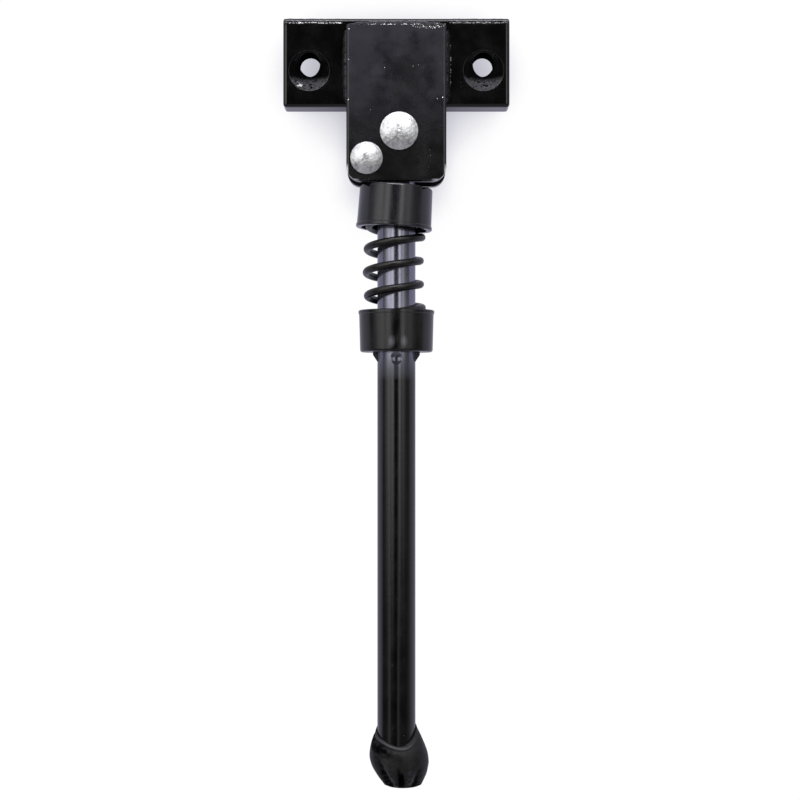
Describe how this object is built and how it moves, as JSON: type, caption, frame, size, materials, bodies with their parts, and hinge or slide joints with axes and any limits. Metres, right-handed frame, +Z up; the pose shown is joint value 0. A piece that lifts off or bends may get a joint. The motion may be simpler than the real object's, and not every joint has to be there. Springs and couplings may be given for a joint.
{
  "type": "bicycle kickstand",
  "caption": "Side kickstand: welded T bracket with countersunk screw holes, riveted swinging leg, spring-loaded detent collar and rubber foot.",
  "frame": {"origin": "midway between the two screw holes, on the back face of the mounting bar", "axes": "+X along the bar, to the right seen from the front; +Z up, away from the foot; +Y out of the bar's back face, towards the bicycle frame"},
  "size_m": [0.0624, 0.021, 0.2117],
  "materials": {
    "black_enamel": "glossy black stoving enamel on steel",
    "weld_enamel": "glossy black enamel over weld beads",
    "zinc_rivet": "bright zinc plate, lightly mottled",
    "rod_enamel": "glossy black enamel on a steel rod",
    "collar_plastic": "satin black moulded nylon",
    "spring_steel": "black oxide on spring wire",
    "foot_rubber": "matte charcoal rubber"
  },
  "bodies": {
    "bracket": {"mount_bar": "black_enamel", "front_cheek": "black_enamel", "rear_cheek": "black_enamel", "front_top_weld": "weld_enamel", "front_left_weld": "weld_enamel", "front_right_weld": "weld_enamel", "rear_top_weld": "weld_enamel", "rear_left_weld": "weld_enamel", "rear_right_weld": "weld_enamel", "pivot_rivet": "zinc_rivet", "stop_rivet": "zinc_rivet"},
    "leg": {"leg_rod": "rod_enamel", "lower_collar": "collar_plastic", "spring": "spring_steel", "foot": "foot_rubber"},
    "collar": {"upper_collar": "collar_plastic"}
  },
  "joints": [
    {"name": "leg_swing", "type": "hinge", "parent": "bracket", "child": "leg", "pos_m": [0.00075, -0.004, -0.0194], "axis": [0, -1, 0], "range_deg": [0, 80]},
    {"name": "collar_slide", "type": "slide", "parent": "leg", "child": "collar", "axis": [0, 0, -1], "range_m": [0, 0.0035], "stiffness_N_per_m": 15000, "springref_m": -0.006, "deforming": ["spring"]}
  ]
}
